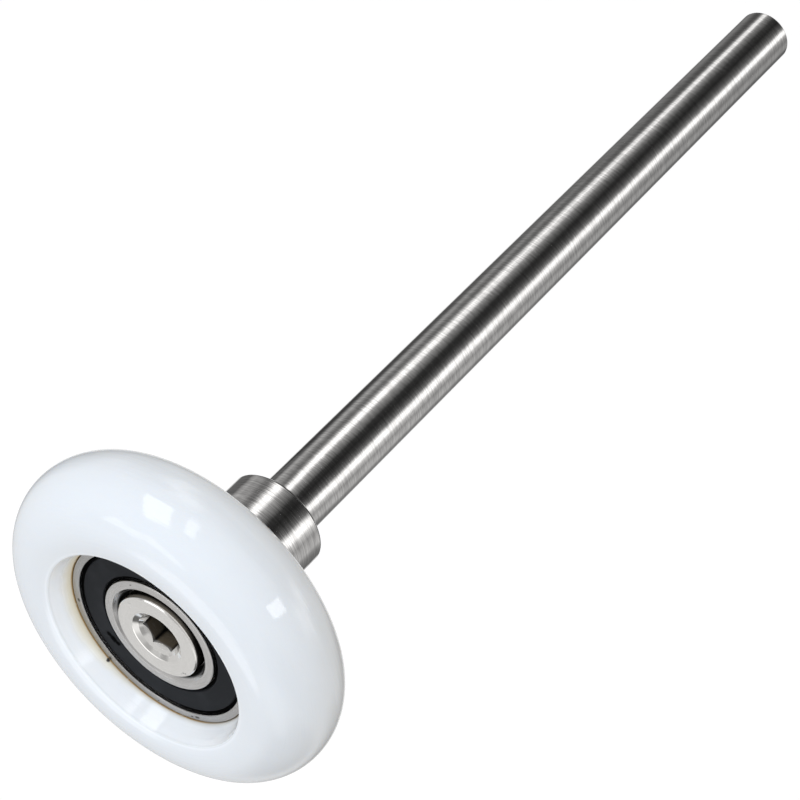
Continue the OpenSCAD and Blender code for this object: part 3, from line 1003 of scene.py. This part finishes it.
class ROLLER_OT_stem(Operator):
    """Turn the long plain stem with the journal that enters the bush"""

    bl_idname = "roller.stem"
    bl_label = "Stem"

    def execute(self, context):
        axle, screw = context.scene.roller_axle, context.scene.roller_screw
        radius, end = reach("stem", 2), reach("stem", 1)
        front, seat = reach("stem", 1, 0), reach("collar", 1) - axle.seat_depth
        neck, edge = reach("collar", 1) + axle.neck, 0.1 * MM
        shank = end - axle.end_chamfer - neck
        hole, drill_point = reach("retaining_screw", 1) + 2 * MM, math.tan(math.radians(30))
        corners = [
            (0.0, end, 0.0), (radius - axle.end_chamfer, end, edge * 2),
            (radius, end - axle.end_chamfer, edge * 2),
            *((radius, neck + shank * part, 0.0) for part in (0.9, 0.75, 0.6, 0.45, 0.3, 0.15, 0.02)),
            (radius, neck, edge), (axle.seat_radius, neck, 0.0), (axle.seat_radius, seat, 0.0),
            (axle.journal, seat, 0.0), (axle.journal, front, 0.0), (screw.thread, front, 0.0),
            (screw.thread, hole, 0.0), (0.0, hole + screw.thread * drill_point, 0.0),
        ]
        finish = steel(
            "stem_steel", axle.steel, 0.07, 3.4, axle.groove * 0.3, lobes=2.4, contrast=0.2, sway=0.055
        )
        section = rounded(corners, closed=False)
        make("plain_stem", section, finish, axle.steps, "axle", "stem")
        return {"FINISHED"}


class ROLLER_OT_screw(Operator):
    """Turn the flat-headed screw and broach its hexagonal socket with the two-step mouth"""

    bl_idname = "roller.screw"
    bl_label = "Retaining Screw"

    def execute(self, context):
        screw = context.scene.roller_screw
        face = reach("retaining_screw", 1, 0)
        corner = screw.key / 2 / math.cos(math.radians(30))
        points, flats = self.socket(screw, face, corner)
        points += rounded(self.outside(screw, face, points[-1]), closed=False)[1:]
        finish = self.finish(screw, face / MM, corner / MM)
        make("socket_screw", points, finish, screw.steps, "axle", "retaining_screw", flats)
        return {"FINISHED"}

    @staticmethod
    def socket(screw, face, corner):
        """Section of the socket from its floor up the cone, and how far each point follows the flats."""
        rise = math.tan(screw.cone)
        run = [(screw.ledge - corner) * part / 6 for part in range(7)]
        cone = [complex(screw.ledge - r, face + screw.ledge_depth + r * rise) for r in run]
        floor = face + screw.key_depth
        points, flats = [], {}

        def add(new, flat, slide=0.0):
            for point in new:
                if flat or slide:
                    flats[len(points)] = (flat, slide)
                points.append(point)

        add([complex(0.0, floor), complex(corner * 0.5, floor)], 0.6)
        add([complex(corner, floor)], 1.0)
        for part in range(1, 8):
            height = floor + (cone[-1].imag + 0.2 * MM - floor) * part / 7
            add([complex(corner, height)], 1.0, rise * part / 7)
        add(fillet(complex(corner, floor), cone[-1], cone[-2], 0.14 * MM), 1.0, rise)
        for part in range(5, 0, -1):
            add([cone[part]], (part - 1) / 6, rise)
        return points, flats

    @staticmethod
    def outside(screw, face, start):
        """Corners from the top of the inner cone over the ledge, the mouth and the head to the tip."""
        facet, head_back, tip = 0.07 * MM, face + screw.head_thickness, reach("retaining_screw", 1)
        return [
            (start.real, start.imag, 0.0), (screw.ledge, face + screw.ledge_depth, 0.05 * MM),
            (screw.mouth - facet, face + facet * math.tan(screw.flare), 0.03 * MM),
            (screw.mouth + facet, face, 0.03 * MM),
            (screw.mouth + (screw.head - screw.mouth) * 0.5, face, 0.0),
            (screw.head - screw.head_edge, face, 0.05 * MM),
            (screw.head, face + screw.head_edge * 0.7, 0.05 * MM),
            (screw.head, head_back, 0.07 * MM), (screw.thread, head_back, 0.0),
            (screw.thread, tip - screw.tip, 0.05 * MM), (screw.thread - screw.tip, tip, 0.05 * MM),
            (0.0, tip, 0.0),
        ]

    @staticmethod
    def finish(screw, face, corner):
        """Ground face, duller side, dark socket; dirt and painted shade in its corners, painted shade deep in
        it.
        """
        head = screw.head / MM

        def wall(at):
            return at.y.between(face + 0.9, face + 1.9) * at.rho.between(corner + 0.25, corner + 0.1)

        def side(at):
            return at.y.between(face + 0.3, face + 0.42) * at.rho.between(head - 0.3, head)

        # The upper part of the head's side, where the light falls; it keeps its brown while painted shade
        # blackens the rest.
        def lit_upper_side(at):
            return side(at) * at.y.between(face + 1.1, face + 0.6) * at.sin.between(0.35, 0.9)

        # Dark spots in three of the six corner valleys of the mouth: dirt and painted shade.
        def valley_soil_and_shadow(at):
            turns = (180, 240, 300)
            spots = [at.spot(turn, corner + 0.3, face + 0.8, 0.5, seed=float(turn)) for turn in turns]
            return sum(spots[1:], spots[0]) * 0.3

        # Painted shade, near black: the head's side except its lit upper part, the socket's hex corners and
        # its depths.
        def painted_deep_shade(at):
            corners = wall(at) * at.rho.between(corner * 0.93, corner * 0.985)
            return side(at) - lit_upper_side(at) + corners + at.y.between(face + 3.6, face + 4.4)

        return steel(
            "screw_steel", screw.steel, 0.22, 4.0, 0.0004 * MM, lobes=3.0, contrast=0.02, face=face,
            nicks=SCREW_NICKS, polish=lambda at: at.y.between(face + 0.02, face + 0.1),
            dirt_and_shade=(
                ((0.26, 0.225, 0.18), side), ((0.11, 0.088, 0.062), wall), ((0.2, 0.18, 0.15), valley_soil_and_shadow),
                ((0.006, 0.005, 0.004), painted_deep_shade),
            ),
        )


class ROLLER_PT_sidebar(Panel):
    """Sizes and colours of the roller, and a button for each group of its pieces"""

    bl_label = "Garage Door Roller"
    bl_idname = "ROLLER_PT_sidebar"
    bl_space_type = "VIEW_3D"
    bl_region_type = "UI"
    bl_category = "Roller"

    def draw(self, context):
        for operator in OPERATORS:
            self.layout.operator(operator.bl_idname)
        for name, settings in SETTINGS.items():
            box = self.layout.box()
            box.label(text=settings.__name__.replace("Settings", ""))
            for key in settings.__annotations__:
                box.prop(getattr(context.scene, name), key)


OPERATORS = (
    ROLLER_OT_stage, ROLLER_OT_wheel, ROLLER_OT_rings, ROLLER_OT_seals, ROLLER_OT_balls, ROLLER_OT_collar,
    ROLLER_OT_stem, ROLLER_OT_screw,
)
SETTINGS = {
    "roller_stage": StageSettings, "roller_wheel": WheelSettings, "roller_bearing": BearingSettings,
    "roller_axle": AxleSettings, "roller_screw": ScrewSettings,
}


def register():
    for made in (*SETTINGS.values(), *OPERATORS, ROLLER_PT_sidebar):
        bpy.utils.register_class(made)
    for name, settings in SETTINGS.items():
        setattr(bpy.types.Scene, name, PointerProperty(type=settings))


def unregister():
    for name in SETTINGS:
        delattr(bpy.types.Scene, name)
    for made in (ROLLER_PT_sidebar, *reversed(OPERATORS), *reversed(SETTINGS.values())):
        bpy.utils.unregister_class(made)


def main():
    register()
    bpy.ops.roller.stage()
    bpy.ops.roller.wheel()
    bpy.ops.roller.rings()
    bpy.ops.roller.seals()
    bpy.ops.roller.balls()
    bpy.ops.roller.collar()
    bpy.ops.roller.stem()
    bpy.ops.roller.screw()


if __name__ == "__main__":
    main()
